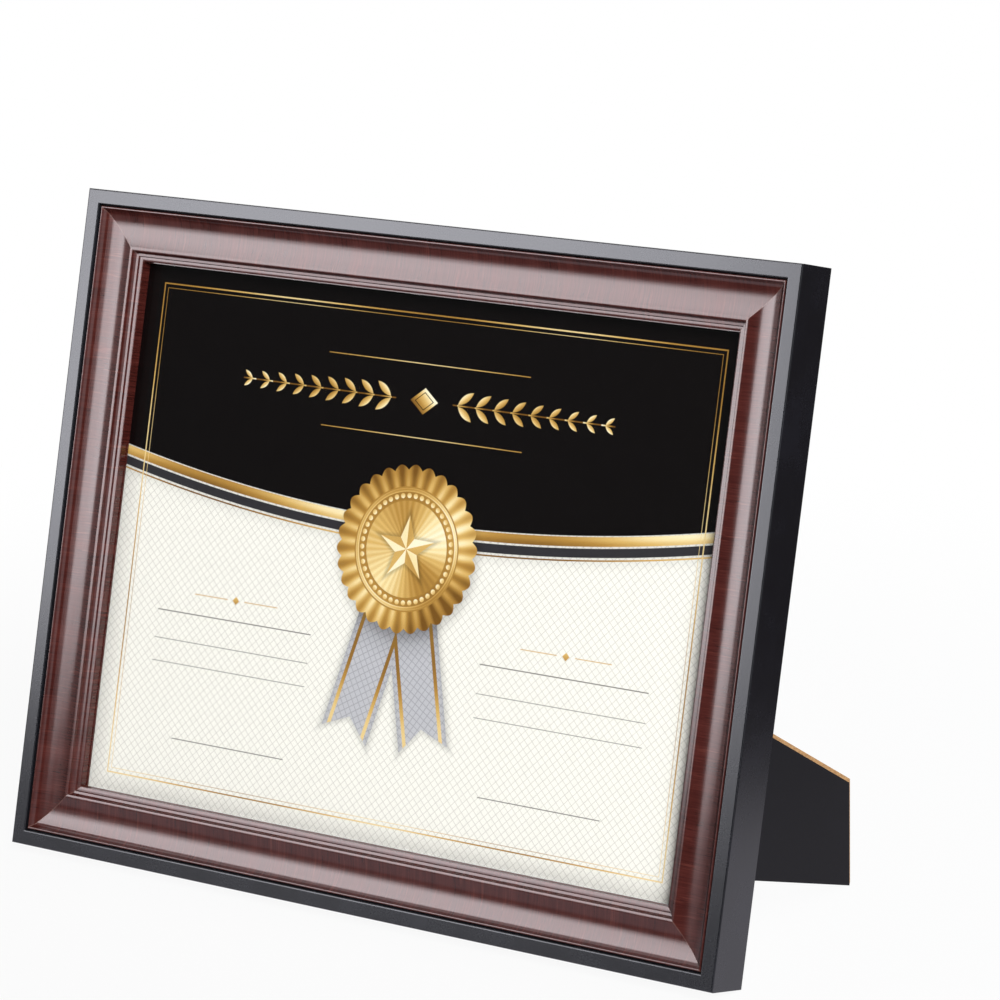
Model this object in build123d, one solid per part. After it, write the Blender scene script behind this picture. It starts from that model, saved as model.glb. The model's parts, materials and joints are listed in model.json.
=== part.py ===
from build123d import *
import math
import os

# A frame for one document that stands on a diagonal easel leg; sizes in millimetres.
# It is drawn upright: X right, Y back, Z up, with the flat back of the rails at Y = 0
# and the bottom edge at Z = 0. The last lines lean it back onto its leg.

# The sheet that the frame is made for, and the moulding around it.
sheet_width = 279.4
sheet_height = 215.9
sheet_gap = 1.0
moulding_width = 26.4
rabbet_width = 5.4
film_thickness = 0.3

# The section's widths, from the outer edge to the sight edge. The scoop takes what is left.
lip_width = 5.8
lip_outer_round = 0.6
lip_inner_round = 0.6
groove_width = 0.55
edge_width = 1.0
bank_width = 1.85
crest_width = 1.8
cove_width = 0.85
shelf_width = 0.9
step_width = 0.3
sight_bead_width = 1.6
land_width = 0.35

# The section's heights, as depths behind the front of the film; only the lip stands above it.
lip_rise = 0.75
groove_depth = 1.1
edge_start_depth = 0.75
edge_top_depth = 0.12
bank_start_depth = 0.55
bank_end_depth = 2.42
bank_bow = 0.28
scoop_depth = 3.69
scoop_end_depth = 2.86
crest_depth = 2.72
crest_end_depth = 2.94
cove_end_depth = 4.78
cove_bow = 0.2
shelf_end_depth = 4.93
step_end_depth = 5.65
sight_bead_bow = 0.1
sight_bead_end_depth = 6.0
land_depth = 9.2
front_depth = 10.0

# The stack that fills the rabbet, from the front.
glass_thickness = 2.0
sheet_thickness = 0.3
sheet_air = 0.1
card_thickness = 4.6
board_thickness = 3.0
stack_edge_gap = 0.5

# The easel leg, its stop hinge and the angle at which it stands open.
open_angle = 35.0
hinge_line_rise = 14.5
leg_thickness = 3.0
leg_shoulder = 32.0
leg_stem = 18.0
leg_flare_slope = 0.2375
leg_corner = 4.0
leaf_thickness = 0.8
leaf_lift = 0.4
leaf_corner = 3.0
pin_radius = 0.9
knuckle_radius = 1.7

# Clearances between pieces that move against each other.
travel_gap = 0.3
running_gap = 0.06

frame_width = sheet_width + 2 * (sheet_gap + moulding_width - rabbet_width)
frame_height = sheet_height + 2 * (sheet_gap + moulding_width - rabbet_width)
rabbet_depth = glass_thickness + sheet_air + sheet_thickness + card_thickness + board_thickness
rail_depth = front_depth + rabbet_depth
back_land = moulding_width - rabbet_width


def at(inward, depth):
    # A point of the moulding section: inward from the outer edge, depth behind the front of the film.
    return (depth - rail_depth, inward)


def bowed(start, end, bow):
    # An arc between two places of the section; a positive bow sinks it into the wood.
    (from_inward, from_depth), (to_inward, to_depth) = start, end
    run = to_inward - from_inward
    drop = to_depth - from_depth
    share = bow / math.hypot(run, drop)
    middle_inward = (from_inward + to_inward) / 2 - share * drop
    middle_depth = (from_depth + to_depth) / 2 + share * run
    return ThreePointArc(at(*start), at(middle_inward, middle_depth), at(*end))


# The wood-grain front of the section, one place after another: a rounded edge, a steep bank,
# a scoop, a crest, a cove with a shelf, a step, a small bead, the sight wall and a narrow land.
film_inset = lip_width + groove_width
bank_start = (film_inset + edge_width, bank_start_depth)
bank_end = (bank_start[0] + bank_width, bank_end_depth)
land_inset = moulding_width - land_width
sight_bead_end = (land_inset, sight_bead_end_depth)
step_end = (land_inset - sight_bead_width, step_end_depth)
shelf_end = (step_end[0] - step_width, shelf_end_depth)
cove_end = (shelf_end[0] - shelf_width, cove_end_depth)
crest_end = (cove_end[0] - cove_width, crest_end_depth)
scoop_end = (crest_end[0] - crest_width, scoop_end_depth)
edge_rise = (edge_start_depth + bank_start_depth) / 2 - edge_top_depth
scoop_bow = scoop_depth - (bank_end_depth + scoop_end_depth) / 2
crest_bow = (scoop_end_depth + crest_end_depth) / 2 - crest_depth
film_front = [
    bowed((film_inset, edge_start_depth), bank_start, -edge_rise),
    bowed(bank_start, bank_end, bank_bow),
    bowed(bank_end, scoop_end, scoop_bow),
    bowed(scoop_end, crest_end, -crest_bow),
    bowed(crest_end, cove_end, cove_bow),
    Line(at(*cove_end), at(*shelf_end)),
    Line(at(*shelf_end), at(*step_end)),
    bowed(step_end, sight_bead_end, -sight_bead_bow),
    Line(at(*sight_bead_end), at(land_inset, land_depth)),
    Line(at(land_inset, land_depth), at(moulding_width, land_depth)),
    Line(at(moulding_width, land_depth), at(moulding_width, front_depth)),
]


def inward_normal(edge, place):
    # The direction from the front of the section into the wood.
    tangent = edge % place
    return Vector(tangent.Y, -tangent.X)


def film_back_edges():
    # The same curves set back by the thickness of the film, with their corners mitred.
    joints = []
    for index, edge in enumerate(film_front):
        after = inward_normal(edge, 0)
        before = after if index == 0 else inward_normal(film_front[index - 1], 1)
        joints.append((edge @ 0) + (before + after) * (film_thickness / (1 + before.dot(after))))
    last = film_front[-1]
    joints.append((last @ 1) + inward_normal(last, 1) * film_thickness)
    edges = []
    for index, edge in enumerate(film_front):
        middle = (edge @ 0.5) + inward_normal(edge, 0.5) * film_thickness
        if edge.geom_type == GeomType.LINE:
            edges.append(Line(joints[index], joints[index + 1]))
        else:
            edges.append(ThreePointArc(joints[index], middle, joints[index + 1]))
    return edges


film_back = film_back_edges()
film_start_back = film_back[0] @ 0
film_end_back = film_back[-1] @ 1

film_section = make_face(
    film_front
    + film_back
    + [
        Line(film_front[0] @ 0, film_start_back),
        Line(film_front[-1] @ 1, film_end_back),
    ]
)

# The black core: a flat lip with rounded edges, a groove, then the bed of the film.
lip_top = -lip_rise
outer_start = at(0, lip_top + lip_outer_round)
outer_end = at(lip_outer_round, lip_top)
inner_start = at(lip_width - lip_inner_round, lip_top)
inner_end = at(lip_width, lip_top + lip_inner_round)
corner_cut = 1 - math.sqrt(0.5)
outer_cut = corner_cut * lip_outer_round
inner_cut = corner_cut * lip_inner_round
core_section = make_face(
    [
        Line(at(0, rail_depth), outer_start),
        ThreePointArc(outer_start, at(outer_cut, lip_top + outer_cut), outer_end),
        Line(outer_end, inner_start),
        ThreePointArc(inner_start, at(lip_width - inner_cut, lip_top + inner_cut), inner_end),
        Line(inner_end, at(lip_width, groove_depth)),
        Line(at(lip_width, groove_depth), film_start_back),
    ]
    + film_back
    + [
        Line(film_end_back, at(back_land, front_depth)),
        Line(at(back_land, front_depth), at(back_land, rail_depth)),
        Line(at(back_land, rail_depth), at(0, rail_depth)),
    ]
)

# For each side: the outer length, the distance from the frame's centre, and the turn about Y.
sides = {
    "top": (frame_width, frame_height / 2, 180),
    "bottom": (frame_width, frame_height / 2, 0),
    "left": (frame_height, frame_width / 2, 90),
    "right": (frame_height, frame_width / 2, -90),
}
frame_centre = Pos(0, 0, frame_height / 2)


def mitred(section, side):
    # The section run along one side of the frame and cut at 45 degrees at both ends.
    length, reach, turn = sides[side]
    bar = extrude(Plane.YZ * section, amount=length / 2, both=True)
    outline = make_face(Polyline((-length / 2, 0), (length / 2, 0), (0, length / 2), close=True))
    wedge = extrude(Plane.XZ * outline, amount=2 * rail_depth, both=True)
    return frame_centre * Rot(0, turn, 0) * Pos(0, 0, -reach) * (bar & wedge)


def on_back(x, z, x_direction):
    # A place on the flat back of the frame, with its own Z pointing backwards.
    return Plane(origin=(x, 0, z), x_dir=x_direction, z_dir=(0, 1, 0)).location


def rod(radius, start, end):
    # A round bar along Z between two heights.
    return Pos(0, 0, start) * Cylinder(radius, end - start, align=(Align.CENTER, Align.CENTER, Align.MIN))


def block(x_range, y_range, z_range):
    # A box between two values on each axis.
    size = [high - low for low, high in (x_range, y_range, z_range)]
    corner = Pos(x_range[0], y_range[0], z_range[0])
    return corner * Box(*size, align=(Align.MIN, Align.MIN, Align.MIN))


# Nails, rivets and heads are many-sided rather than round.
fastener_sides = 20
head_narrowing = 0.4


def peg(radius, start, end):
    # A straight shank along Z between two heights.
    return Pos(0, 0, start) * extrude(RegularPolygon(radius, fastener_sides), amount=end - start)


def low_head(radius, height, base):
    # A low pressed head that narrows towards its top.
    slope = math.degrees(math.atan(head_narrowing * radius / height))
    return Pos(0, 0, base) * extrude(RegularPolygon(radius, fastener_sides), amount=height, taper=slope)


def plate(width, height, back, thickness):
    # An upright sheet centred in the frame, with its back face at the given depth.
    middle = back - thickness / 2
    return frame_centre * Pos(0, middle, 0) * Box(width, thickness, height)


# V-shaped nails driven in from the back, two across each mitre.
vee_nail_leg = 5.0
vee_nail_thickness = 0.6
vee_nail_depth = 7.0
vee_nail_edge = 6.0
vee_nail_spacing = 7.5
vee_nail_insets = (vee_nail_edge, vee_nail_edge + vee_nail_spacing)


def vee_nail(inset, left, low):
    # Two strips that meet on the mitre line, one in each rail.
    half = vee_nail_thickness / 2
    along = block((inset - half, inset + vee_nail_leg), (-vee_nail_depth, 0), (inset - half, inset + half))
    across = block((inset - half, inset + half), (-vee_nail_depth, 0), (inset - half, inset + vee_nail_leg))
    nail = Pos(-frame_width / 2, 0, 0) * (along + across)
    if not left:
        nail = mirror(nail, about=Plane.YZ)
    if not low:
        nail = frame_centre * mirror(frame_centre.inverse() * nail, about=Plane.XY)
    return nail


vee_nails = []
for inset in vee_nail_insets:
    for left in (True, False):
        for low in (True, False):
            vee_nails.append(vee_nail(inset, left, low))

# Spring clips that turn on screws in the back of the rails and hold the board in.
clip_thickness = 0.9
clip_width = 9.0
clip_end = 5.0
clip_flat = 5.5
clip_bow = 1.2
clip_reach = 17.5
clip_tip = 2.0
clip_tip_rise = 0.5
clip_tip_corner = 3.9
clip_overlap = 8.5
clip_pivot_inset = back_land + stack_edge_gap + clip_overlap - clip_reach
clip_corner_distance = 76.0
clip_screw_radius = 1.7
clip_screw_depth = 9.0
clip_head_radius = 3.2
clip_head_height = 1.8
clip_top = travel_gap + clip_thickness
head_base = clip_top + travel_gap

inward_from = {
    "top": (0, 0, -1),
    "bottom": (0, 0, 1),
    "left": (1, 0, 0),
    "right": (-1, 0, 0),
}
# The lower right clip and the one on the right keep clear of the folded leg, and the left one of a hanger.
hanger_length = 45.0
hanger_clear = 15.0
leg_clear = 40.0
clip_along = frame_width / 2 - clip_corner_distance
clip_places = [
    ("top", -clip_along),
    ("top", clip_along),
    ("right", hanger_clear),
    ("bottom", clip_along - leg_clear),
    ("bottom", -clip_along),
    ("left", -hanger_length / 2 - clip_reach - hanger_clear),
]


def clip_location(side, along):
    # The pivot of a clip, with its own X pointing in over the board.
    x, z = {
        "top": (along, frame_height - clip_pivot_inset),
        "bottom": (along, clip_pivot_inset),
        "left": (-frame_width / 2 + clip_pivot_inset, frame_height / 2 + along),
        "right": (frame_width / 2 - clip_pivot_inset, frame_height / 2 + along),
    }[side]
    return on_back(x, z, inward_from[side])


def clip_line(height):
    # One face of the bowed strip, seen from its edge.
    touch = clip_reach - clip_tip
    return [
        Line((-clip_end, height), (clip_flat, height)),
        ThreePointArc((clip_flat, height), ((clip_flat + touch) / 2, height + clip_bow), (touch, height)),
        Line((touch, height), (clip_reach, height + clip_tip_rise)),
    ]


def spring_clip():
    # A strip with a round pivot end, a bow that gives the spring and a turned-up tip.
    ends = [
        Line((-clip_end, travel_gap), (-clip_end, clip_top)),
        Line((clip_reach, travel_gap + clip_tip_rise), (clip_reach, clip_top + clip_tip_rise)),
    ]
    edge_view = make_face(clip_line(travel_gap) + clip_line(clip_top) + ends)
    strip = extrude(Plane.XZ * edge_view, amount=clip_end, both=True)
    arm_length = clip_reach + clip_width / 2
    arm = RectangleRounded(arm_length, clip_width, clip_tip_corner)
    outline = Circle(clip_end) + Pos(clip_reach - arm_length / 2, 0) * arm
    tall = 2 * (clip_top + clip_bow)
    hole = rod(clip_screw_radius + running_gap, 0, tall)
    return (strip & extrude(outline, amount=tall)) - hole


def clip_screw():
    # A round shank in the rail, which the clip turns on, under a low head.
    head = low_head(clip_head_radius, clip_head_height, head_base)
    return rod(clip_screw_radius, -clip_screw_depth, head_base) + head


clip_locations = [clip_location(side, along) for side, along in clip_places]
clip_screws = [location * clip_screw() for location in clip_locations]

# Sawtooth hangers, one for each way up, each fixed with two nails.
hanger_width = 9.0
hanger_lift = 1.5
hanger_thickness = 0.8
hanger_bridge = 10.0
hanger_foot = 13.0
hanger_nail_place = 18.0
hanger_nail_radius = 0.8
hanger_nail_depth = 8.0
hanger_nail_head = 2.0
hanger_nail_head_height = 0.8
tooth_pitch = 2.0
tooth_depth = 1.6
tooth_margin = 1.0


def sawtooth_hanger():
    # A raised strip with teeth along the edge that hooks over a wall nail.
    half = hanger_length / 2
    lower = [
        (-half, 0),
        (-hanger_foot, 0),
        (-hanger_bridge, hanger_lift),
        (hanger_bridge, hanger_lift),
        (hanger_foot, 0),
        (half, 0),
    ]
    upper = [(x, z + hanger_thickness) for x, z in reversed(lower)]
    edge_view = make_face(Polyline(*lower, *upper, close=True))
    strip = extrude(Plane.XZ * edge_view, amount=hanger_width / 2, both=True)
    edge = hanger_width / 2
    first = tooth_margin - hanger_bridge
    count = int(-2 * first / tooth_pitch)
    teeth = [(first, edge + tooth_depth)]
    for index in range(count):
        teeth.append((first + index * tooth_pitch, edge))
        teeth.append((first + (index + 0.5) * tooth_pitch, edge - tooth_depth))
    teeth.append((first + count * tooth_pitch, edge))
    teeth.append((first + count * tooth_pitch, edge + tooth_depth))
    tooth_cut = extrude(make_face(Polyline(*teeth, close=True)), amount=2 * (hanger_lift + hanger_thickness))
    strip = strip - tooth_cut
    for x in (-hanger_nail_place, hanger_nail_place):
        strip = strip - Pos(x, 0, 0) * peg(hanger_nail_radius, 0, hanger_thickness)
    return strip


def hanger_nail():
    # A nail through the flat end of a hanger into the rail.
    head = low_head(hanger_nail_head, hanger_nail_head_height, hanger_thickness)
    return peg(hanger_nail_radius, -hanger_nail_depth, hanger_thickness) + head


hanger_inset = back_land / 2
hanger_locations = {
    "hanger_top": on_back(0, frame_height - hanger_inset, (1, 0, 0)),
    "hanger_side": on_back(-frame_width / 2 + hanger_inset, frame_height / 2, (0, 0, 1)),
}
hanger_nails = []
for location in hanger_locations.values():
    for x in (-hanger_nail_place, hanger_nail_place):
        hanger_nails.append(location * Pos(x, 0, 0) * hanger_nail())

# The four rails, with holes for every nail and screw, and the film on each.
rails = {}
films = {}
for side in sides:
    rail = mitred(core_section, side)
    for fastener in vee_nails + clip_screws + hanger_nails:
        rail = rail - fastener
    rails[side] = rail
    films[side] = mitred(film_section, side)

# The glass, the sheet, the filler card and the board, each lying on the next.
opening_width = frame_width - 2 * back_land
opening_height = frame_height - 2 * back_land
fill_width = opening_width - 2 * stack_edge_gap
fill_height = opening_height - 2 * stack_edge_gap
card_back = -board_thickness
sheet_back = card_back - card_thickness
glass_back = sheet_back - sheet_thickness - sheet_air
board = plate(fill_width, fill_height, 0, board_thickness)
card = plate(fill_width, fill_height, card_back, card_thickness)
sheet = plate(sheet_width, sheet_height, sheet_back, sheet_thickness)
glass = plate(fill_width, fill_height, glass_back, glass_thickness)

# The stop hinge and leg are drawn folded flat, in their own axes: X along the hinge pin at
# 45 degrees to the frame, Y down the leg towards the frame's lower right corner, Z backwards.
hinge_x = (frame_width / 2 - frame_height / 2 - hinge_line_rise) / 2
hinge_z = (frame_width / 2 + frame_height / 2 + hinge_line_rise) / 2
hinge_place = on_back(hinge_x, hinge_z, (1, 0, 1))
pin_height = knuckle_radius + travel_gap
leg_front = leaf_lift + leaf_thickness
leg_back = leg_front + leg_thickness

# The foot is cut parallel to two edges of the frame, so the frame must lean by this much
# for a foot edge to lie along the table, and the cut stands in by foot_inset to touch it.
lean_tangent = math.tan(math.radians(open_angle) / 2) / math.sqrt(2)
lean_angle = math.degrees(math.atan(lean_tangent))
foot_inset = lean_tangent * (2 * pin_height - leg_front)
leg_length = (frame_width / 2 - hinge_x + hinge_z - 2 * foot_inset) / math.sqrt(2)

hinge_half = 15.0
knuckle_half = 5.0
fixed_leaf_length = 24.0
moving_leaf_start = 4.0
moving_leaf_end = 27.0
moving_leaf_half = 13.0
leaf_root = 0.6
leg_start = 4.5
tang_side = 1.0
tang_half = knuckle_half - tang_side
tang_length = 9.5
pin_overhang = 0.6
rivet_radius = 1.6
rivet_head_radius = 3.0
rivet_head_height = 1.0
rivet_side = 5.5
rivet_end = 9.0
fixed_rivets = [(side * (hinge_half - rivet_side), rivet_end - fixed_leaf_length) for side in (-1, 1)]
moving_rivets = [(side * (moving_leaf_half - rivet_side), moving_leaf_end - rivet_end) for side in (-1, 1)]


def along_pin(radius, start, end):
    # A round bar along the hinge pin.
    return Pos(0, 0, pin_height) * Rot(0, 90, 0) * rod(radius, start, end)


def opened(shape):
    # Turned about the pin from folded flat to standing open.
    return Pos(0, 0, pin_height) * Rot(open_angle, 0, 0) * Pos(0, 0, -pin_height) * shape


def rivets(places, start, end):
    # Rivets that end flush in front and carry a low head at the back.
    made = []
    for x, y in places:
        body = peg(rivet_radius, start, end) + low_head(rivet_head_radius, rivet_head_height, end)
        made.append(Pos(x, y, 0) * body)
    return made


board_rivets = rivets(fixed_rivets, -board_thickness, leaf_thickness)
leg_rivets = rivets(moving_rivets, leaf_lift, leg_back)


def leaf_plate(half, start, end, floor):
    # A leaf between two places along Y, with the two corners farthest from the pin rounded.
    far = -1 if abs(end) > abs(start) else 0
    outline = make_face(Polyline((-half, start), (half, start), (half, end), (-half, end), close=True))
    outline = fillet(outline.vertices().group_by(Axis.Y)[far], leaf_corner)
    return Pos(0, 0, floor) * extrude(outline, amount=leaf_thickness)


# The fixed leaf lies on the board, with a knuckle at each end and a notch for the moving knuckle.
knuckle_end = knuckle_half + travel_gap
knuckle_notch = knuckle_radius + 2 * travel_gap
fixed_leaf = leaf_plate(hinge_half, -fixed_leaf_length, 0, 0)
fixed_leaf = fixed_leaf - block((-knuckle_end, knuckle_end), (-knuckle_notch, 0), (0, leaf_thickness))
for start, end in ((-hinge_half, -knuckle_end), (knuckle_end, hinge_half)):
    fixed_leaf = fixed_leaf + along_pin(knuckle_radius, start, end)
fixed_leaf = fixed_leaf - along_pin(pin_radius, -hinge_half, hinge_half)
for rivet in board_rivets:
    fixed_leaf = fixed_leaf - rivet

# The moving leaf carries a tang that comes down on the fixed leaf and stops the leg.
moving_leaf = leaf_plate(moving_leaf_half, moving_leaf_start, moving_leaf_end, leaf_lift)
neck = block((-knuckle_half, knuckle_half), (leaf_root, moving_leaf_start), (leaf_lift, leg_front))
moving_leaf = moving_leaf + neck + along_pin(knuckle_radius, -knuckle_half, knuckle_half)
for rivet in leg_rivets:
    moving_leaf = moving_leaf - rivet
tang_floor = leaf_thickness + travel_gap
tang = block((-tang_half, tang_half), (-tang_length, -leaf_root), (tang_floor, tang_floor + leaf_thickness))
moving_leaf = opened(moving_leaf) + tang
moving_leaf = moving_leaf - along_pin(pin_radius + running_gap, -knuckle_half, knuckle_half)

# The leg: a straight stem, a flare and a foot with two edges square to each other.
shoulder_place = leg_length - leg_shoulder
flare_place = shoulder_place - (leg_shoulder - leg_stem) / leg_flare_slope
leg_outline = make_face(
    Polyline(
        (-leg_stem, leg_start),
        (leg_stem, leg_start),
        (leg_stem, flare_place),
        (leg_shoulder, shoulder_place),
        (0, leg_length),
        (-leg_shoulder, shoulder_place),
        (-leg_stem, flare_place),
        close=True,
    )
)
leg_outline = fillet(leg_outline.vertices().group_by(Axis.Y)[0], leg_corner)
leg = Pos(0, 0, leg_front) * extrude(leg_outline, amount=leg_thickness)
for rivet in leg_rivets:
    leg = leg - rivet

pin = along_pin(pin_radius, -hinge_half - pin_overhang, hinge_half + pin_overhang)
for rivet in board_rivets:
    board = board - hinge_place * rivet

parts = {}
for side in sides:
    parts["rail_" + side] = rails[side]
    parts["film_" + side] = films[side]
parts["vee_nails"] = Compound(vee_nails)
parts["glass"] = glass
parts["certificate"] = sheet
parts["filler_card"] = card
parts["backing_board"] = board
for number, location in enumerate(clip_locations, 1):
    parts["spring_clip_" + str(number)] = location * spring_clip()
parts["clip_screws"] = Compound(clip_screws)
for name, location in hanger_locations.items():
    parts[name] = location * sawtooth_hanger()
parts["hanger_nails"] = Compound(hanger_nails)
parts["hinge_fixed_leaf"] = hinge_place * fixed_leaf
parts["hinge_pin"] = hinge_place * pin
parts["board_rivets"] = Compound([hinge_place * rivet for rivet in board_rivets])
parts["hinge_moving_leaf"] = hinge_place * moving_leaf
parts["easel_leg"] = hinge_place * opened(leg)
parts["leg_rivets"] = Compound([hinge_place * opened(rivet) for rivet in leg_rivets])

# Lean everything back until the foot stands on the table, then centre it over the origin.
lean = Rot(-lean_angle, 0, 0)
leaned = {name: lean * shape for name, shape in parts.items()}
boxes = [shape.bounding_box() for shape in leaned.values()]
front = min(box.min.Y for box in boxes)
back = max(box.max.Y for box in boxes)
centred = Pos(0, -(front + back) / 2, 0)

os.makedirs("parts", exist_ok=True)
for name, shape in leaned.items():
    export_step(centred * shape, "parts/" + name + ".step")
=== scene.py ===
import json
import math
import bmesh
import bpy
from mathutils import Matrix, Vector

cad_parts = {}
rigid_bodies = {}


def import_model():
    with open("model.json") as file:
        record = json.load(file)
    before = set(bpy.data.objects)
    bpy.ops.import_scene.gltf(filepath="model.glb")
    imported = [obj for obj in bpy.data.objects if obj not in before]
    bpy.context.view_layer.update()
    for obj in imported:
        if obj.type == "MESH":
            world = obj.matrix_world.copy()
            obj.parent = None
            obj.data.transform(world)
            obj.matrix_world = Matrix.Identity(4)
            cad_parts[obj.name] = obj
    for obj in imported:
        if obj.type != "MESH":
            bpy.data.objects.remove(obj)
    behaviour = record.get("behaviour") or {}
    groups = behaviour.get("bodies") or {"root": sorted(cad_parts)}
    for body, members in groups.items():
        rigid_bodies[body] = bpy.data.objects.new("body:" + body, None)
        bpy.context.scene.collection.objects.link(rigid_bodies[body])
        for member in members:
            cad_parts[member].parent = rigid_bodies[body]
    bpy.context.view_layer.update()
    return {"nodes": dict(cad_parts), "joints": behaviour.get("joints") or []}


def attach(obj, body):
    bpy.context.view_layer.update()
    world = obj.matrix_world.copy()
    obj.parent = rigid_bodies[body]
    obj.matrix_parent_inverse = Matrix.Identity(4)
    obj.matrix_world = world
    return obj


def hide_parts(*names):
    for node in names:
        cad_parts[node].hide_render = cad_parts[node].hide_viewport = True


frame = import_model()
nodes = frame["nodes"]

# the frame leans back, so finishes are laid out along its own width, depth and height
millimetres = 1000
clipJoint = next(joint for joint in frame["joints"] if joint["name"] == "clip_1_turn")
backward = Vector(clipJoint["axis"]).normalized()
upward = Vector((0, -backward.z, backward.y))
lean = math.atan2(-backward.z, backward.y)
foot = min((vertex.co for vertex in nodes["rail_bottom"].data.vertices), key=lambda place: place.z)
foot = Vector((0, foot.y, foot.z))


def alongFrame(place):  # right, back and up from the foot of the frame, in millimetres
    step = (Vector(place) - foot) * millimetres
    return Vector((step.x, step.dot(backward), step.dot(upward)))


def extent(node):  # lowest and highest corner of a node in those directions
    spots = [alongFrame(vertex.co) for vertex in nodes[node].data.vertices]
    return [[pick(spot[axis] for spot in spots) for axis in range(3)] for pick in (min, max)]


def broadside(node):  # the direction that the largest faces of a node look in
    largest = max(nodes[node].data.polygons, key=lambda face: face.area)
    return largest.normal.copy()


frameWidth = 2 * extent("rail_right")[1][0]
frameHeight = extent("rail_top")[1][2]
sightSide = extent("film_right")[0][0]  # half the width and half the height of the opening
sightTop = extent("film_top")[0][2] - frameHeight / 2
print("frame size in mm: %.1f x %.1f" % (frameWidth, frameHeight))


class Wire:  # a socket that can be used in sums
    def __init__(self, finish, socket):
        self.finish = finish
        self.socket = socket

    def maths(self, operation, *values, clamp=False):
        settings = {"operation": operation, "use_clamp": clamp}
        return self.finish.node("Math", settings, dict(enumerate(values)))

    def __add__(self, other):
        return self.maths("ADD", self, other)

    def __radd__(self, other):
        return self.maths("ADD", other, self)

    def __sub__(self, other):
        return self.maths("SUBTRACT", self, other)

    def __rsub__(self, other):
        return self.maths("SUBTRACT", other, self)

    def __mul__(self, other):
        return self.maths("MULTIPLY", self, other)

    def __rmul__(self, other):
        return self.maths("MULTIPLY", other, self)

    def __truediv__(self, other):
        return self.maths("DIVIDE", self, other)

    def __rtruediv__(self, other):
        return self.maths("DIVIDE", other, self)

    def __pow__(self, other):
        return self.maths("POWER", self, other)

    def __rpow__(self, other):
        return self.maths("POWER", other, self)

    def __mod__(self, other):
        return self.maths("FLOORED_MODULO", self, other)

    def __rmod__(self, other):
        return self.maths("FLOORED_MODULO", other, self)

    def __neg__(self):
        return self.maths("MULTIPLY", self, -1)

    def __abs__(self):
        return self.maths("ABSOLUTE", self)

    def __and__(self, other):  # both of two masks, or the two shapes of two distances joined
        return self.maths("MINIMUM", self, other)

    def __or__(self, other):  # either of two masks, or the common part of two distances
        return self.maths("MAXIMUM", self, other)

    def clamped(self):
        return self.maths("ADD", self, 0, clamp=True)

    def sine(self):
        return self.maths("SINE", self)

    def cosine(self):
        return self.maths("COSINE", self)

    def root(self):
        return self.maths("SQRT", self)

    def angle(self, other):
        return self.maths("ARCTAN2", self, other)

    def length(self, other):
        return (self * self + other * other).root()


def linear(colour):  # screen values from 0 to 255, as the nodes take them
    parts = [part / 255 for part in colour]
    parts = [part / 12.92 if part <= 0.04045 else ((part + 0.055) / 1.055) ** 2.4 for part in parts]
    return (*parts, 1)


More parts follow.
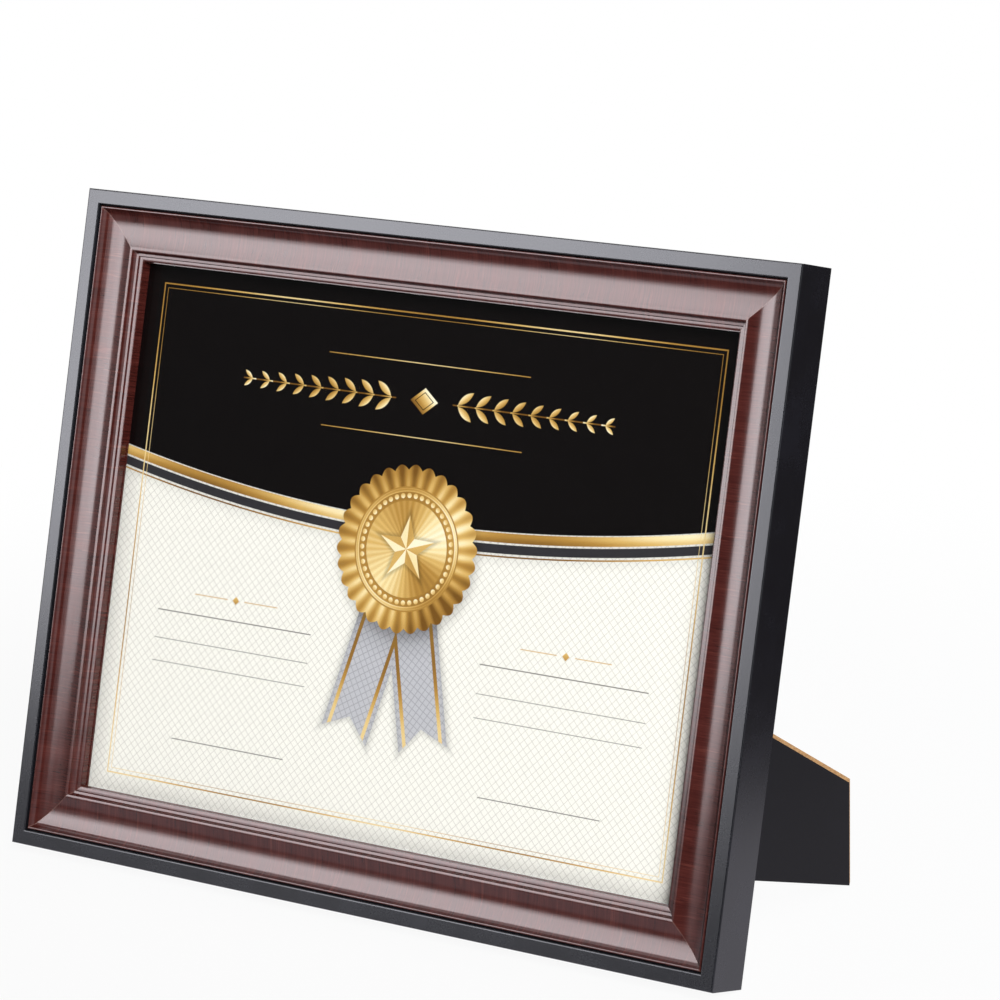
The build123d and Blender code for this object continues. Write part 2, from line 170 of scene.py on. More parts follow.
class Finish:  # the nodes of one material
    def __init__(self, name):
        self.material = bpy.data.materials.new(name)
        self.material.use_nodes = True
        self.tree = self.material.node_tree
        self.tree.nodes.clear()

    def node(self, kind, settings=None, inputs=None, output=0):
        made = self.tree.nodes.new("ShaderNode" + kind)
        for name, value in (settings or {}).items():
            if name == "stops":
                self.setStops(made.color_ramp, value)
            else:
                setattr(made, name, value)
        for name, value in (inputs or {}).items():
            if isinstance(value, Wire):
                self.tree.links.new(value.socket, made.inputs[name])
            else:
                made.inputs[name].default_value = value
        return Wire(self, made.outputs[output]) if len(made.outputs) else None

    def setStops(self, ramp, stops):
        while len(ramp.elements) < len(stops):
            ramp.elements.new(1)
        for element, (place, colour) in zip(ramp.elements, stops):
            element.position = place
            element.color = linear(colour)

    def mix(self, factor, first, second):
        first, second = [linear(side) if isinstance(side, tuple) else side for side in (first, second)]
        return self.node("Mix", {"data_type": "RGBA"}, {0: factor, 6: first, 7: second}, 2)

    def shade(self, colour, amount):  # the colour times an amount
        grey = self.node("CombineColor", None, {0: amount, 1: amount, 2: amount})
        settings = {"data_type": "RGBA", "blend_type": "MULTIPLY"}
        return self.node("Mix", settings, {0: 1, 6: colour, 7: grey}, 2)

    def ramp(self, value, stops):
        return self.node("ValToRGB", {"stops": stops}, {0: value})

    def fade(self, value, low, high):  # 0 at low, 1 at high, smooth between
        settings = {"interpolation_type": "SMOOTHSTEP"}
        return self.node("MapRange", settings, {0: value, 1: low, 2: high, 3: 0, 4: 1})

    def fill(self, distance, soft=0.12):  # 1 where a shape's distance is below zero
        return self.fade(distance, soft, -soft)

    def line(self, distance, half, soft=0.12):  # a line of that half width where the distance is zero
        return self.fill(abs(distance) - half, soft)

    def join(self, x, y, z):
        return self.node("CombineXYZ", None, {0: x, 1: y, 2: z})

    def noise(self, vector, scale, detail=2, roughness=0.5):
        inputs = {"Vector": vector, "Scale": scale, "Detail": detail, "Roughness": roughness}
        return self.node("TexNoise", None, inputs)

    def place(self):  # right, back and up from the foot of the frame, in millimetres
        start = self.node("TexCoord", output="Object")
        move = [-foot.dot(Vector(axis)) * millimetres for axis in ((1, 0, 0), backward, upward)]
        settings = {"Location": move, "Rotation": (lean, 0, 0), "Scale": (millimetres,) * 3}
        turned = self.node("Mapping", None, {"Vector": start, **settings})
        return [self.node("SeparateXYZ", None, {0: turned}, axis) for axis in range(3)]

    def facing(self, direction):  # how far the surface faces a direction that rides with the piece
        normal = self.node("TexCoord", output="Normal")
        return self.node("VectorMath", {"operation": "DOT_PRODUCT"}, {0: normal, 1: direction}, "Value")

    def bump(self, height, strength, distance):
        inputs = {"Height": height, "Strength": strength, "Distance": distance / millimetres}
        return self.node("Bump", None, inputs)

    def surface(self, inputs):
        self.output(self.node("BsdfPrincipled", None, inputs))
        return self

    def output(self, shader):
        self.node("OutputMaterial", None, {"Surface": shader})


def dress(finish, *names):
    for name in names:
        for place in nodes[name].material_slots:
            place.material = finish.material


blackLook = {
    "colour": (13, 14, 17),
    "cloudy": (19, 20, 25),
    "speck": (74, 74, 78),
    "shine": (250, 249, 255),
    "roughness": 0.27,
    "cloudScale": 0.04,
    "peelScale": 0.9,
    "peelDepth": 0.012,
    "dustScale": 1.3,
}


def blackMoulding():  # satin black lacquer with the odd speck of dust in it
    finish = Finish("black moulding lacquer")
    right, back, up = finish.place()
    spot = finish.join(right, back, up)
    cloud = finish.noise(spot, blackLook["cloudScale"], 4, 0.6)
    peel = finish.noise(spot, blackLook["peelScale"], 2, 0.5)
    dust = finish.noise(spot, blackLook["dustScale"], 1, 0.4)
    colour = finish.mix(finish.fade(cloud, 0.35, 0.75), blackLook["colour"], blackLook["cloudy"])
    colour = finish.mix(0.6 * finish.fade(dust, 0.83, 0.88), colour, blackLook["speck"])
    return finish.surface({
        "Base Color": colour,
        "Roughness": blackLook["roughness"] + 0.06 * (cloud - 0.5) + 0.02 * (peel - 0.5),
        "Specular Tint": linear(blackLook["shine"]),
        "Normal": finish.bump(peel, blackLook["peelDepth"], 0.02),
    })


grainLook = {
    "dark": (50, 18, 15),
    "middle": (64, 26, 22),
    "light": (79, 35, 30),
    "thread": (112, 58, 49),
    "pore": (29, 11, 10),
    "chip": (120, 84, 74),
    "roughness": 0.19,
    "shine": (255, 246, 247),
    "sway": 1.4,
    "fineScale": 1.7,
    "broadScale": 0.16,
    "fineShare": 0.62,
    "threads": 0.28,
    "pores": 0.42,
}


def woodFilm(name, upright):  # printed mahogany film, its fine grain across the rail
    finish = Finish(name)
    right, back, up = finish.place()
    along, across = (up, right) if upright else (right, up)
    fall = across * 0.03 + back * 0.02
    sway = finish.noise(finish.join(along * 0.02, fall * 2, 0), 1, 2)
    grain = along + grainLook["sway"] * sway
    fine = finish.noise(finish.join(grain, fall, 3), grainLook["fineScale"], 3, 0.65)
    broad = finish.noise(finish.join(grain, fall * 3, 7), grainLook["broadScale"], 2, 0.5)
    dash = finish.noise(finish.join(grain, fall * 4, 11), 1.5, 1, 0.5)
    thread = finish.noise(finish.join(grain, fall * 2, 17), 1.2, 1, 0.5)
    tone = grainLook["fineShare"] * fine + (1 - grainLook["fineShare"]) * broad
    colour = finish.ramp(tone, [
        (0.34, grainLook["dark"]),
        (0.5, grainLook["middle"]),
        (0.68, grainLook["light"]),
    ])
    threads = grainLook["threads"] * finish.fade(thread, 0.62, 0.76)
    colour = finish.mix(threads, colour, grainLook["thread"])
    pores = grainLook["pores"] * finish.fade(dash, 0.64, 0.71)
    colour = finish.mix(pores, colour, grainLook["pore"])
    # the film is cut at the mitres, where its edge is a little chipped
    fromSide = frameWidth / 2 - abs(right)
    fromEnd = frameHeight / 2 - abs(up - frameHeight / 2)
    mitre = abs(fromSide - fromEnd)
    chips = finish.noise(finish.join(right, up, back), 0.8, 2, 0.6)
    colour = finish.mix(0.55 * finish.fill(mitre - 0.5 * chips, 0.1), colour, grainLook["chip"])
    colour = finish.mix(0.8 * finish.fill(mitre - 0.07, 0.05), colour, grainLook["pore"])
    return finish.surface({
        "Base Color": colour,
        "Roughness": grainLook["roughness"] + 0.05 * (fine - 0.5) + 0.05 * (broad - 0.5),
        "Specular Tint": linear(grainLook["shine"]),
        "Normal": finish.bump(fine, 0.02, 0.01),
    })


glassLook = {"mirror": 0.036, "roughness": 0.02}


def clearGlass():
    finish = Finish("clear glass")
    through = finish.node("BsdfTransparent", None, {"Color": (1, 1, 1, 1)})
    shine = {"Color": (1, 1, 1, 1), "Roughness": glassLook["roughness"]}
    gloss = finish.node("BsdfGlossy", None, shine)
    glance = finish.node("LayerWeight", None, {"Blend": 0.5}, "Facing")
    mirror = glassLook["mirror"] + (1 - glassLook["mirror"]) * glance ** 5  # the same from both sides
    finish.output(finish.node("MixShader", None, {0: mirror, 1: through, 2: gloss}))
    return finish


sheetLook = {  # lengths in millimetres, heights from the middle of the sheet
    "paper": (249, 247, 237),
    "ink": (13, 10, 10),
    "graphite": (52, 51, 54),
    "rule": (92, 86, 80),
    "silver": (196, 196, 199),
    "silverLattice": (166, 166, 170),
    "gold": [
        (0, (122, 84, 32)),
        (0.35, (184, 140, 66)),
        (0.6, (222, 184, 108)),
        (0.82, (247, 226, 168)),
        (1, (255, 246, 214)),
    ],
    "roughness": 0.62,
    "lattice": (180, 174, 164),
    "latticePitch": 2.4,
    "latticeHalf": 0.1,
    "latticeSlant": (0.71, 0.7),
    "latticeStrength": 0.68,
    "edgeShade": 0.14,
    "edgeReach": 9,
    "headerEdge": 19,
    "headerRise": 19,
    "headerBands": [(2.6, 1.8), (6.8, 1.7), (9.6, 0.3)],  # middle below the edge, half the width
    "borderInset": 7,
    "borderLines": [(0, 0.26), (1.7, 0.1)],  # step inwards, half the width
    "branchHeight": 64,
    "branchReach": (15, 87),
    "branchTaper": 0.5,
    "branchRules": (14, 46, 0.16),  # distance from the branch, half the length, half the width
    "stemHalf": 0.24,
    "leafPitch": 8,
    "leafTurn": math.radians(38),
    "leafRise": 2.9,
    "leafHalf": 4.1,
    "leafBelly": 1.35,
    "diamond": 5,
    "rules": [  # height, middle to each side, half the length, half the width
        (-30, 76, 37, 0.2),
        (-41, 76, 37, 0.13),
        (-50, 76, 37, 0.13),
        (-79, 72, 27, 0.18),
    ],
    "markPlace": (76, -22),
    "markHalf": 1.6,
    "tailTilt": math.radians(14),
    "tailWidth": 22,
    "tailLength": 68,
    "tailNotch": 0.7,
    "tailStripe": (8.2, 0.8),  # from the middle of the tail, half the width
    "tailWeave": (2.3, 0.16),  # pitch and half width of its lines
    "sealHeight": 8,
    "sealSize": 1.22,
    "sealRim": 24.5,
    "sealScallop": 1.7,
    "sealPleats": 30,
    "sealRing": 18.9,
    "beadRing": 16.6,
    "beadCount": 44,
    "beadHalf": 0.8,
    "sealField": 15,
    "starPoints": 5,
    "starOuter": 10.5,
    "starInner": 4.3,
}


class Print:  # the layers of the printed sheet, with a painted shade near the opening's edge, in millimetres from its middle
    def __init__(self, finish):
        self.finish = finish
        right, back, up = finish.place()
        self.x = right
        self.y = up - frameHeight / 2
        self.side = abs(right)
        self.beyondSight = (self.side - sightSide) | (abs(self.y) - sightTop)
        self.colour = None
        self.gilded = None

    def lay(self, mask, colour):
        self.colour = self.finish.mix(mask, self.colour, colour)

    def gild(self, mask, tone):  # a layer of gold, lighter where tone is higher
        self.lay(mask, self.finish.ramp(tone, sheetLook["gold"]))
        self.gilded = mask if self.gilded is None else self.gilded | mask

    def shadow(self, mask):
        self.colour = self.finish.shade(self.colour, 1 - mask)

    def lattice(self, x, y, pitch, half):  # two sets of slanting lines
        slantX, slantY = sheetLook["latticeSlant"]
        steps = [slantX * x + sign * slantY * y for sign in (1, -1)]
        rising, falling = [self.finish.line(step % pitch - pitch / 2, half, 0.14) for step in steps]
        return rising | falling

    def paper(self):
        mottle = self.finish.noise(self.finish.join(self.x, self.y, 0), 0.35, 4, 0.6)
        lines = self.lattice(self.x, self.y, sheetLook["latticePitch"], sheetLook["latticeHalf"])
        lines = sheetLook["latticeStrength"] * lines
        self.colour = self.finish.mix(lines, sheetLook["paper"], sheetLook["lattice"])
        self.shadow(0.05 * self.finish.fade(mottle, 0.4, 0.8))
        # painted shade along the opening's edge, where the frame shades the sheet
        nearEdge = self.finish.fade(self.beyondSight, -sheetLook["edgeReach"], 0)
        self.shadow(sheetLook["edgeShade"] * nearEdge)

    def header(self):  # the dark head, with bands along its curved edge
        finish = self.finish
        share = self.x / (frameWidth / 2)
        below = sheetLook["headerEdge"] + sheetLook["headerRise"] * share * share - self.y
        self.shadow(0.16 * finish.fade(below, 15, 8))
        self.lay(finish.fill(below - 0.4), sheetLook["ink"])
        sheen = 0.5 + 0.3 * (self.x * 0.042 + 0.9).cosine() + 0.12 * (below * 1.1).sine()
        bands = [finish.line(below - middle, half) for middle, half in sheetLook["headerBands"]]
        self.gild(bands[0], sheen)
        self.lay(bands[1], sheetLook["graphite"])
        self.gild(bands[2], sheen - 0.1)

    def border(self):
        edge = self.beyondSight + sheetLook["borderInset"]
        tone = 0.5 + 0.25 * ((self.x + self.y) * 0.05).sine()
        for step, half in sheetLook["borderLines"]:
            self.gild(self.finish.line(edge + step, half), tone)

    def branches(self):  # two mirrored sprays of leaves with a diamond between them
        finish = self.finish
        start, end = sheetLook["branchReach"]
        middle, half = (start + end) / 2, (end - start) / 2
        pitch = sheetLook["leafPitch"]
        height = self.y - sheetLook["branchHeight"]
        rise = abs(height)
        reach = self.side - start
        cell = reach % pitch
        taper = 1 - sheetLook["branchTaper"] * (reach - cell) / (end - start)
        step = (cell - 0.45 * pitch) / taper
        lift = rise / taper - sheetLook["leafRise"]
        turn = sheetLook["leafTurn"]
        leafLong = step * math.cos(turn) + lift * math.sin(turn)
        leafWide = lift * math.cos(turn) - step * math.sin(turn)
        belly = leafLong / sheetLook["leafHalf"]
        leaf = abs(leafWide) - sheetLook["leafBelly"] * (1 - belly * belly)
        sheen = 0.62 + 0.2 * leafWide + 0.14 * (self.x * 0.07).cosine()
        self.gild(finish.fill(leaf, 0.2) * finish.line(self.side - middle, half), sheen)
        stem = finish.line(rise, sheetLook["stemHalf"])
        self.gild(stem * finish.line(self.side - middle + 2, half), sheen)
        diamond = self.side * 0.8 + rise - sheetLook["diamond"]
        self.gild(finish.fill(diamond), 0.55 + 0.09 * (self.x + height))
        self.lay(finish.fill(diamond + 1.5) - finish.fill(diamond + 1.9), sheetLook["ink"])
        away, ruleHalf, thick = sheetLook["branchRules"]
        tone = 0.55 + 0.2 * (self.x * 0.06).cosine()
        self.gild(finish.fill((abs(rise - away) - thick) | (self.side - ruleHalf)), tone)

    def rules(self):  # blank lines to write on, under a small gold mark
        finish = self.finish
        for height, middle, half, thick in sheetLook["rules"]:
            mask = finish.fill((abs(self.y - height) - thick) | (abs(self.side - middle) - half))
            self.lay(0.9 * mask, sheetLook["rule"])
        middle, height = sheetLook["markPlace"]
        aside, rise = abs(self.side - middle), abs(self.y - height)
        self.gild(finish.fill(aside + rise - sheetLook["markHalf"]), 0.5 + 0.1 * (self.y - height))
        self.gild(finish.fill((rise - 0.16) | (abs(aside - 12) - 8)), 0.5)

    def ribbon(self):  # two tails under the seal, notched at their ends
        finish = self.finish
        tilt = sheetLook["tailTilt"]
        half = sheetLook["tailWidth"] / 2
        drop = sheetLook["sealHeight"] - self.y
        along = self.side * math.sin(tilt) + drop * math.cos(tilt)
        across = self.side * math.cos(tilt) - drop * math.sin(tilt)
        end = along - sheetLook["tailLength"] - sheetLook["tailNotch"] * abs(across)
        tail = (abs(across) - half) | end | (10 - along)
        self.shadow(0.3 * finish.fade(tail - 0.7, 2.6, -1.2) * finish.fade(drop, 12, 20))
        mask = finish.fill(tail)
        weave = self.lattice(along, across, *sheetLook["tailWeave"])
        self.lay(mask, finish.mix(weave, sheetLook["silver"], sheetLook["silverLattice"]))
        stripe, stripeHalf = sheetLook["tailStripe"]
        stripes = finish.line(abs(across) - stripe, stripeHalf)
        self.gild(mask * stripes, 0.42 + 0.3 * (along * 0.11).sine())
        fold = 0.3 * finish.fade(along, 44, 29) + 0.12 * finish.fade(abs(across), half - 2.4, half)
        self.shadow(mask * fold)

    def seal(self):  # a pleated rosette with a beaded ring and a plain star
        finish = self.finish
        across = self.x / sheetLook["sealSize"]
        rise = (self.y - sheetLook["sealHeight"]) / sheetLook["sealSize"]
        out = across.length(rise)
        turn = rise.angle(across)
        pleats, ring, field = sheetLook["sealPleats"], sheetLook["sealRing"], sheetLook["sealField"]
        edge = sheetLook["sealRim"] + sheetLook["sealScallop"] * abs((turn * (pleats / 2)).sine())
        self.shadow(0.34 * finish.fade((across - 0.8).length(rise + 1.4), 29, 23.5))
        sweep = 0.2 * (turn * 2 - 1.1).cosine() + 0.1 * (turn * 3 + 0.6).sine()
        folds = 0.46 + sweep + 0.2 * (turn * pleats).cosine() - 0.12 * finish.fade(out, 20, 25)
        self.gild(finish.fill(out - edge), folds)
        self.gild(finish.fill(out - (ring + 0.5)), 0.3)
        self.gild(finish.fill(out - ring), 0.66 + sweep + 0.12 * (out * 4).sine())
        beadRing = sheetLook["beadRing"]
        part = 2 * math.pi / sheetLook["beadCount"]
        swing = turn % part - part / 2
        bead = (out - beadRing).length(beadRing * swing) - sheetLook["beadHalf"]
        self.gild(finish.fill(out - (beadRing + 1.2)), 0.28 + 0.4 * sweep)
        self.gild(finish.fill(bead), 0.85 - 0.25 * (out - (beadRing - 0.4)))
        self.gild(finish.fill(out - (field + 0.4)), 0.25)
        self.gild(finish.fill(out - field), 0.6 + 1.2 * sweep + 0.05 * (turn * 40).sine())
        point = 2 * math.pi / sheetLook["starPoints"]
        tilt = (turn - math.pi / 2 + point / 2) % point - point / 2
        outer, inner = sheetLook["starOuter"], sheetLook["starInner"]
        edgeX = inner * math.cos(point / 2) - outer
        edgeY = inner * math.sin(point / 2)
        tipX = out * tilt.cosine() - outer
        tipY = abs(out * tilt.sine())
        star = (tipX * edgeY - tipY * edgeX) / math.hypot(edgeX, edgeY)
        inField = finish.fill(out - (field - 0.2))
        self.shadow(0.35 * finish.fade(star - 0.3, 1.3, -0.2) * inField)
        facet = finish.fade(tilt, -0.02, 0.02)
        self.gild(finish.fill(star), 0.5 + 0.42 * facet + 0.3 * sweep)


def printedSheet():
    finish = Finish("award sheet")
    sheet = Print(finish)
    sheet.paper()
    sheet.rules()
    sheet.header()
    sheet.branches()
    sheet.border()
    sheet.ribbon()
    sheet.seal()
    fibre = finish.noise(finish.join(sheet.x, sheet.y, 0), 1.6, 3, 0.6)
    return finish.surface({
        "Base Color": sheet.colour,
        "Roughness": sheetLook["roughness"] + 0.1 * (fibre - 0.5) - 0.24 * sheet.gilded,
        "Specular IOR Level": 0.08,
        "Normal": finish.bump(fibre, 0.05, 0.02),
    })


boardLook = {
    "paper": (15, 14, 17),
    "paperLight": (23, 22, 26),
    "core": (176, 138, 92),
    "coreDark": (138, 100, 62),
    "roughness": 0.62,
}


def facedBoard(name, flat):  # black paper on the faces, raw fibreboard on the cut edges
    finish = Finish(name)
    right, back, up = finish.place()
    spot = finish.join(right, back, up)
    fibre = finish.noise(finish.join(right * 0.7 + up * 0.3, back, up * 0.25), 1.4, 4, 0.65)
    wear = finish.noise(spot, 0.05, 3, 0.6)
    worn = 0.6 * finish.fade(fibre, 0.4, 0.75) + 0.3 * finish.fade(wear, 0.5, 0.8)
    paper = finish.mix(worn, boardLook["paper"], boardLook["paperLight"])
    chip = finish.noise(spot, 1.1, 4, 0.7)
    core = finish.mix(finish.fade(chip, 0.35, 0.7), boardLook["coreDark"], boardLook["core"])
    cut = finish.fade(abs(finish.facing(flat)), 0.8, 0.6)
    return finish.surface({
        "Base Color": finish.mix(cut, paper, core),
        "Roughness": boardLook["roughness"] + 0.15 * (fibre - 0.5) + 0.2 * cut,
        "Specular IOR Level": 0.35,
        "Normal": finish.bump(fibre + cut * chip, 0.15, 0.06),
    })


cardLook = {"dark": (128, 118, 102), "light": (168, 158, 140), "roughness": 0.85}


def fillerCard():  # grey card, out of sight between the sheet and the board
    finish = Finish("grey filler card")
    right, back, up = finish.place()
    fibre = finish.noise(finish.join(right * 0.4, back * 3, up * 0.4), 1.2, 4, 0.65)
    return finish.surface({
        "Base Color": finish.mix(finish.fade(fibre, 0.3, 0.75), cardLook["dark"], cardLook["light"]),
        "Roughness": cardLook["roughness"],
        "Normal": finish.bump(fibre, 0.2, 0.08),
    })


metalLook = {  # colour, darker colour, roughness, brush scale
    "zinc plate": ((196, 198, 200), (160, 163, 168), 0.34, 1.4),
    "spring steel": ((178, 180, 186), (132, 136, 146), 0.26, 2.0),
    "brass plate": ((212, 176, 108), (170, 130, 68), 0.3, 1.6),
    "hinge steel": ((186, 187, 190), (150, 152, 156), 0.38, 1.2),
}


def metal(name):
    bright, dull, roughness, brush = metalLook[name]
    finish = Finish(name)
    right, back, up = finish.place()
    scratch = finish.noise(finish.join(right + up, (right - up) * 0.08, back), brush, 4, 0.65)
    bloom = finish.noise(finish.join(right, back, up), 0.25, 4, 0.6)
    colour = finish.mix(finish.fade(bloom, 0.4, 0.75), bright, dull)
    colour = finish.mix(0.4 * finish.fade(scratch, 0.6, 0.75), colour, dull)
    return finish.surface({
        "Base Color": colour,
        "Metallic": 1,
        "Roughness": roughness + 0.2 * (scratch - 0.5) + 0.14 * (bloom - 0.5),
        "Normal": finish.bump(scratch, 0.08, 0.02),
    })


legFace = broadside("easel_leg")
dress(blackMoulding(), "rail_top", "rail_bottom", "rail_left", "rail_right")
dress(woodFilm("mahogany film on level rails", False), "film_top", "film_bottom")
dress(woodFilm("mahogany film on upright rails", True), "film_left", "film_right")
dress(clearGlass(), "glass")
dress(printedSheet(), "certificate")
dress(fillerCard(), "filler_card")
dress(facedBoard("black paper on backing board", backward), "backing_board")
dress(facedBoard("black paper on easel leg", legFace), "easel_leg")
zinc = metal("zinc plate")
dress(zinc, "vee_nails", "clip_screws", "hanger_nails", "board_rivets", "leg_rivets", "hinge_pin")
dress(metal("spring steel"), *["spring_clip_%d" % number for number in range(1, 7)])
dress(metal("brass plate"), "hanger_top", "hanger_side")
dress(metal("hinge steel"), "hinge_fixed_leaf", "hinge_moving_leaf")
print("finishes:", len(bpy.data.materials))

turnedLook = {  # sizes in metres
    "sides": 36,
    "domeRings": 7,
    "rim": 0.18,  # share of the head's height
    "point": 0.0006,
    "pointShare": 0.6,
    "apart": 0.008,  # points farther apart than this belong to two fasteners
    "sharpAngle": math.radians(35),
    "crossDepth": 0.0011,
    "crossReach": 0.0019,
    "crossHalf": 0.0005,
    "crossScales": (0.6, 1.1),  # at its floor and at its mouth
}


class Turned:  # smooth domed heads and shanks in place of the many-sided ones
    def __init__(self, node, axis, crossed=False):
        self.node = node
        self.shape = bmesh.new()
        self.cutter = bmesh.new()
        for spots in self.clusters(axis):
            self.measure(spots, axis)
            self.turn()
            if crossed:
                self.cross()
        self.crossed = crossed

    def clusters(self, axis):  # the node's points, one list for each fastener
        groups = []
        for vertex in nodes[self.node].data.vertices:
            flat = vertex.co - axis * vertex.co.dot(axis)
            near = [spots for first, spots in groups if (first - flat).length < turnedLook["apart"]]
            if near:
                near[0].append(vertex.co.copy())
            else:
                groups.append((flat, [vertex.co.copy()]))
        return [spots for first, spots in groups]

    def measure(self, spots, axis):
        middle = sum(spots, Vector()) / len(spots)

        def outwards(spot):
            return (spot - middle - axis * (spot - middle).dot(axis)).length

        rim = max(spots, key=outwards).dot(axis)
        heights = [spot.dot(axis) for spot in spots]
        if max(heights) - rim > rim - min(heights):  # the head is at the other end
            axis = -axis
            rim = -rim
            heights = [-height for height in heights]
        self.axis = axis
        self.side = axis.orthogonal().normalized()
        self.other = axis.cross(self.side)
        self.middle = middle - axis * middle.dot(axis)
        self.tip, self.rim, self.top = min(heights), rim, max(heights)
        self.headRadius = max(outwards(spot) for spot in spots)
        low = [spot for spot in spots if spot.dot(axis) < self.tip + 0.0001]
        self.shankRadius = max(outwards(spot) for spot in low)

    def spot(self, right, up, height):
        return self.middle + self.side * right + self.other * up + self.axis * height

    def turn(self):
        rise = self.top - self.rim
        edge = self.rim + turnedLook["rim"] * rise
        profile = [
            (turnedLook["pointShare"] * self.shankRadius, self.tip),
            (self.shankRadius, self.tip + turnedLook["point"]),
            (self.shankRadius, self.rim),
            (self.headRadius, self.rim),
            (self.headRadius, edge),
        ]
        for step in range(1, turnedLook["domeRings"]):
            turn = math.pi / 2 * step / turnedLook["domeRings"]
            height = edge + (self.top - edge) * math.sin(turn)
            profile.append((self.headRadius * math.cos(turn), height))
        sides = turnedLook["sides"]
        rings = []
        for radius, height in profile:
            turns = [2 * math.pi * side / sides for side in range(sides)]
            ring = [self.spot(radius * math.cos(turn), radius * math.sin(turn), height) for turn in turns]
            rings.append([self.shape.verts.new(place) for place in ring])
        for lower, upper in zip(rings, rings[1:]):
            for side in range(sides):
                after = (side + 1) % sides
                self.shape.faces.new((lower[side], lower[after], upper[after], upper[side]))
        for ring, height, flip in ((rings[0], self.tip, True), (rings[-1], self.top, False)):
            pole = self.shape.verts.new(self.spot(0, 0, height))
            for side in range(sides):
                pair = [ring[side], ring[(side + 1) % sides]]
                self.shape.faces.new((pair[::-1] if flip else pair) + [pole])

    def cross(self):  # the cutter of a cross recess, narrower at its floor
        reach, half = turnedLook["crossReach"], turnedLook["crossHalf"]
        corner = [(half, half), (half, reach), (-half, reach)]
        outline = []
        for quarter in range(4):
            for right, up in corner:
                for turn in range(quarter):
                    right, up = -up, right
                outline.append((right, up))
        heights = (self.top - turnedLook["crossDepth"], self.top + 0.0003)
        loops = []
        for scale, height in zip(turnedLook["crossScales"], heights):
            spots = [self.spot(right * scale, up * scale, height) for right, up in outline]
            loops.append([self.cutter.verts.new(place) for place in spots])
        lower, upper = loops
        for index in range(len(outline)):
            after = (index + 1) % len(outline)
            self.cutter.faces.new((lower[index], lower[after], upper[after], upper[index]))
        self.cutter.faces.new(lower[::-1])
        self.cutter.faces.new(upper)

    def piece(self, shape, name):
        bmesh.ops.recalc_face_normals(shape, faces=shape.faces)
        mesh = bpy.data.meshes.new(name)
        shape.to_mesh(mesh)
        made = bpy.data.objects.new(name, mesh)
        bpy.context.scene.collection.objects.link(made)
        return made

    def finish(self, name, body, slot, finish):
        made = self.piece(self.shape, name)
        if self.crossed:
            caps = [face for face in self.cutter.faces if len(face.verts) > 4]
            bmesh.ops.triangulate(self.cutter, faces=caps)
            knife = self.piece(self.cutter, name + "_cutter")
            cut = made.modifiers.new("recess", "BOOLEAN")
            cut.object = knife
            cut.solver = "EXACT"
            graph = bpy.context.evaluated_depsgraph_get()
            mesh = bpy.data.meshes.new_from_object(made.evaluated_get(graph))
            made.modifiers.clear()
            made.data = mesh
            bpy.data.objects.remove(knife)
        made.data.materials.clear()
        made.data.materials.append(finish.material)
        made.data.polygons.foreach_set("use_smooth", [True] * len(made.data.polygons))
        made.data.set_sharp_from_angle(angle=turnedLook["sharpAngle"])
        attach(made, body)
        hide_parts(self.node)


Turned("clip_screws", backward, True).finish("turned_clip_screws", "frame", "fastener_steel", zinc)
Turned("hanger_nails", backward).finish("turned_hanger_nails", "frame", "fastener_steel", zinc)
Turned("board_rivets", backward).finish("turned_board_rivets", "frame", "fastener_steel", zinc)
Turned("leg_rivets", legFace).finish("turned_leg_rivets", "leg", "fastener_steel", zinc)
print("fasteners turned")

stageLook = {
    "floorColour": (205, 205, 205),
    "floorReach": 12,
    "floorDrop": 0.0002,
    "nearWhite": 0.93,
    "whiteFrom": 0.3,
    "whiteBy": 0.8,
    # painted reflection: the floor's glow as reflections see it, a pale pool of light near the frame and
    # dark farther off
    "paintedPoolNear": (238, 235, 244),
    "paintedDarkFar": (72, 64, 67),
    "paintedPoolFrom": 0.25,
    "paintedPoolBy": 0.39,
    "worldLight": 0.05,
}


def floor():  # pale floor that keeps the shadow and turns white away from the frame; in reflections it glows with a painted pool of light near the frame that fades to painted dark farther off
    reach = stageLook["floorReach"]
    mesh = bpy.data.meshes.new("floor")
    corners = [(-reach, -reach, 0), (reach, -reach, 0), (reach, reach, 0), (-reach, reach, 0)]
    mesh.from_pydata(corners, [], [(0, 1, 2, 3)])
    sheet = bpy.data.objects.new("floor", mesh)
    sheet.location.z = -stageLook["floorDrop"]
    bpy.context.scene.collection.objects.link(sheet)
    finish = Finish("pale floor")
    seen = finish.node("LightPath", output="Is Camera Ray")
    glossy = finish.node("LightPath", output="Is Glossy Ray")
    mirrored = glossy | finish.node("LightPath", output="Is Transmission Ray")
    spot = finish.node("TexCoord", output="Object")
    away = finish.node("VectorMath", {"operation": "LENGTH"}, {0: spot}, "Value")
    near = stageLook["nearWhite"]
    white = near + (1 - near) * finish.fade(away, stageLook["whiteFrom"], stageLook["whiteBy"])
    share = (seen * white + mirrored).clamped()
    # painted reflection: reflections see a painted pool of light that darkens with distance from the
    # frame
    paintedFalloff = mirrored * finish.fade(away, stageLook["paintedPoolFrom"], stageLook["paintedPoolBy"])
    tint = finish.mix(mirrored, (255, 255, 255), stageLook["paintedPoolNear"])
    tint = finish.mix(paintedFalloff, tint, stageLook["paintedDarkFar"])
    matt = finish.node("BsdfDiffuse", None, {"Color": linear(stageLook["floorColour"])})
    glow = finish.node("Emission", None, {"Color": tint, "Strength": 1})
    finish.output(finish.node("MixShader", None, {0: share, 1: matt, 2: glow}))
    mesh.materials.append(finish.material)


def studio():
    world = bpy.data.worlds.new("studio")
    bpy.context.scene.world = world
    world.use_nodes = True
    back = world.node_tree.nodes["Background"]
    back.inputs["Color"].default_value = (1, 1, 1, 1)
    back.inputs["Strength"].default_value = stageLook["worldLight"]


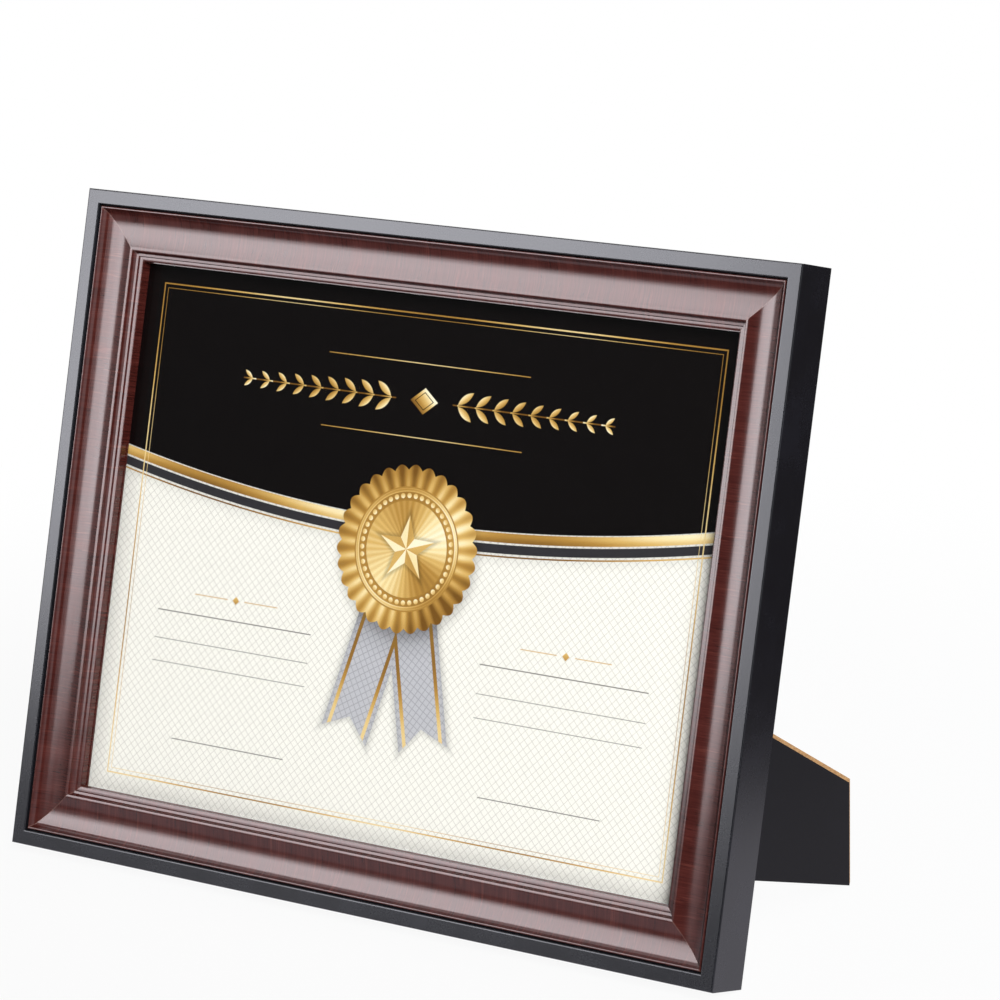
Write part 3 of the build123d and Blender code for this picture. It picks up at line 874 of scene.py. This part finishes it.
softboxes = {  # place, aim, width and height in metres, power, and what it lights
    "front softbox": ((-0.394, -0.557, 0.51), (-0.109, -0.147, 0.51), (0.49, 0.67), 9.4, "gloss"),
    "front foot": ((-0.394, -0.557, 0.143), (-0.109, -0.147, 0.143), (0.49, 0.064), 0.48, "gloss"),
    "ceiling panel": ((-0.7, 0.3, 1.5), (-0.6, 0.2, 0), (2.0, 2.0), 21, "gloss"),
    "right panel": ((1.3, -0.6, 0.3), (0, -0.1, 0.15), (1.2, 0.7), 3.2, "gloss"),
    "left wall": ((-2.2, -1.5, 0.4), (0, 0, 0.15), (2.4, 1.6), 6, "gloss"),
    "room light": ((4.6, -4.0, 3.6), (0, 0, 0.12), (3.4, 3.4), 755, "matt"),
    "back softbox": ((0.5, 1.3, 1.2), (0, 0, 0.1), (1.0, 1.0), 18, "both"),
}
lampTint = (0.965, 0.975, 1)


def lamps():
    for name, (place, aim, size, power, lit) in softboxes.items():
        data = bpy.data.lights.new(name, "AREA")
        data.shape = "RECTANGLE"
        data.size, data.size_y = size
        data.energy = power
        data.color = lampTint
        lamp = bpy.data.objects.new(name, data)
        lamp.location = place
        lamp.rotation_euler = (Vector(aim) - Vector(place)).to_track_quat("-Z", "Y").to_euler()
        lamp.visible_camera = False
        lamp.visible_diffuse = lit != "gloss"
        lamp.visible_glossy = lit != "matt"
        bpy.context.scene.collection.objects.link(lamp)
        if lit == "gloss":  # the glass and the sheet are kept free of glare
            receivers = bpy.data.collections.new("lit by " + name)
            plain = [nodes["glass"], nodes["certificate"]]
            for piece in bpy.data.objects:
                if piece.type == "MESH" and piece not in plain:
                    receivers.objects.link(piece)
            lamp.light_linking.receiver_collection = receivers


floor()
studio()
lamps()

cameraLook = {
    "place": (0.90141, -1.30704, 0.505),
    "aim": (0.05595, -0.05292, 0.16604),
    "lens": 153.52,
    "sensor": 36,
}


def camera():
    data = bpy.data.cameras.new("camera")
    data.lens = cameraLook["lens"]
    data.sensor_width = cameraLook["sensor"]
    data.clip_end = 100
    made = bpy.data.objects.new("camera", data)
    made.location = cameraLook["place"]
    look = Vector(cameraLook["aim"]) - Vector(cameraLook["place"])
    made.rotation_euler = look.to_track_quat("-Z", "Y").to_euler()
    bpy.context.scene.collection.objects.link(made)
    bpy.context.scene.camera = made


camera()
bpy.context.scene.view_settings.view_transform = "Standard"
print("stage: floor, lamps and camera")
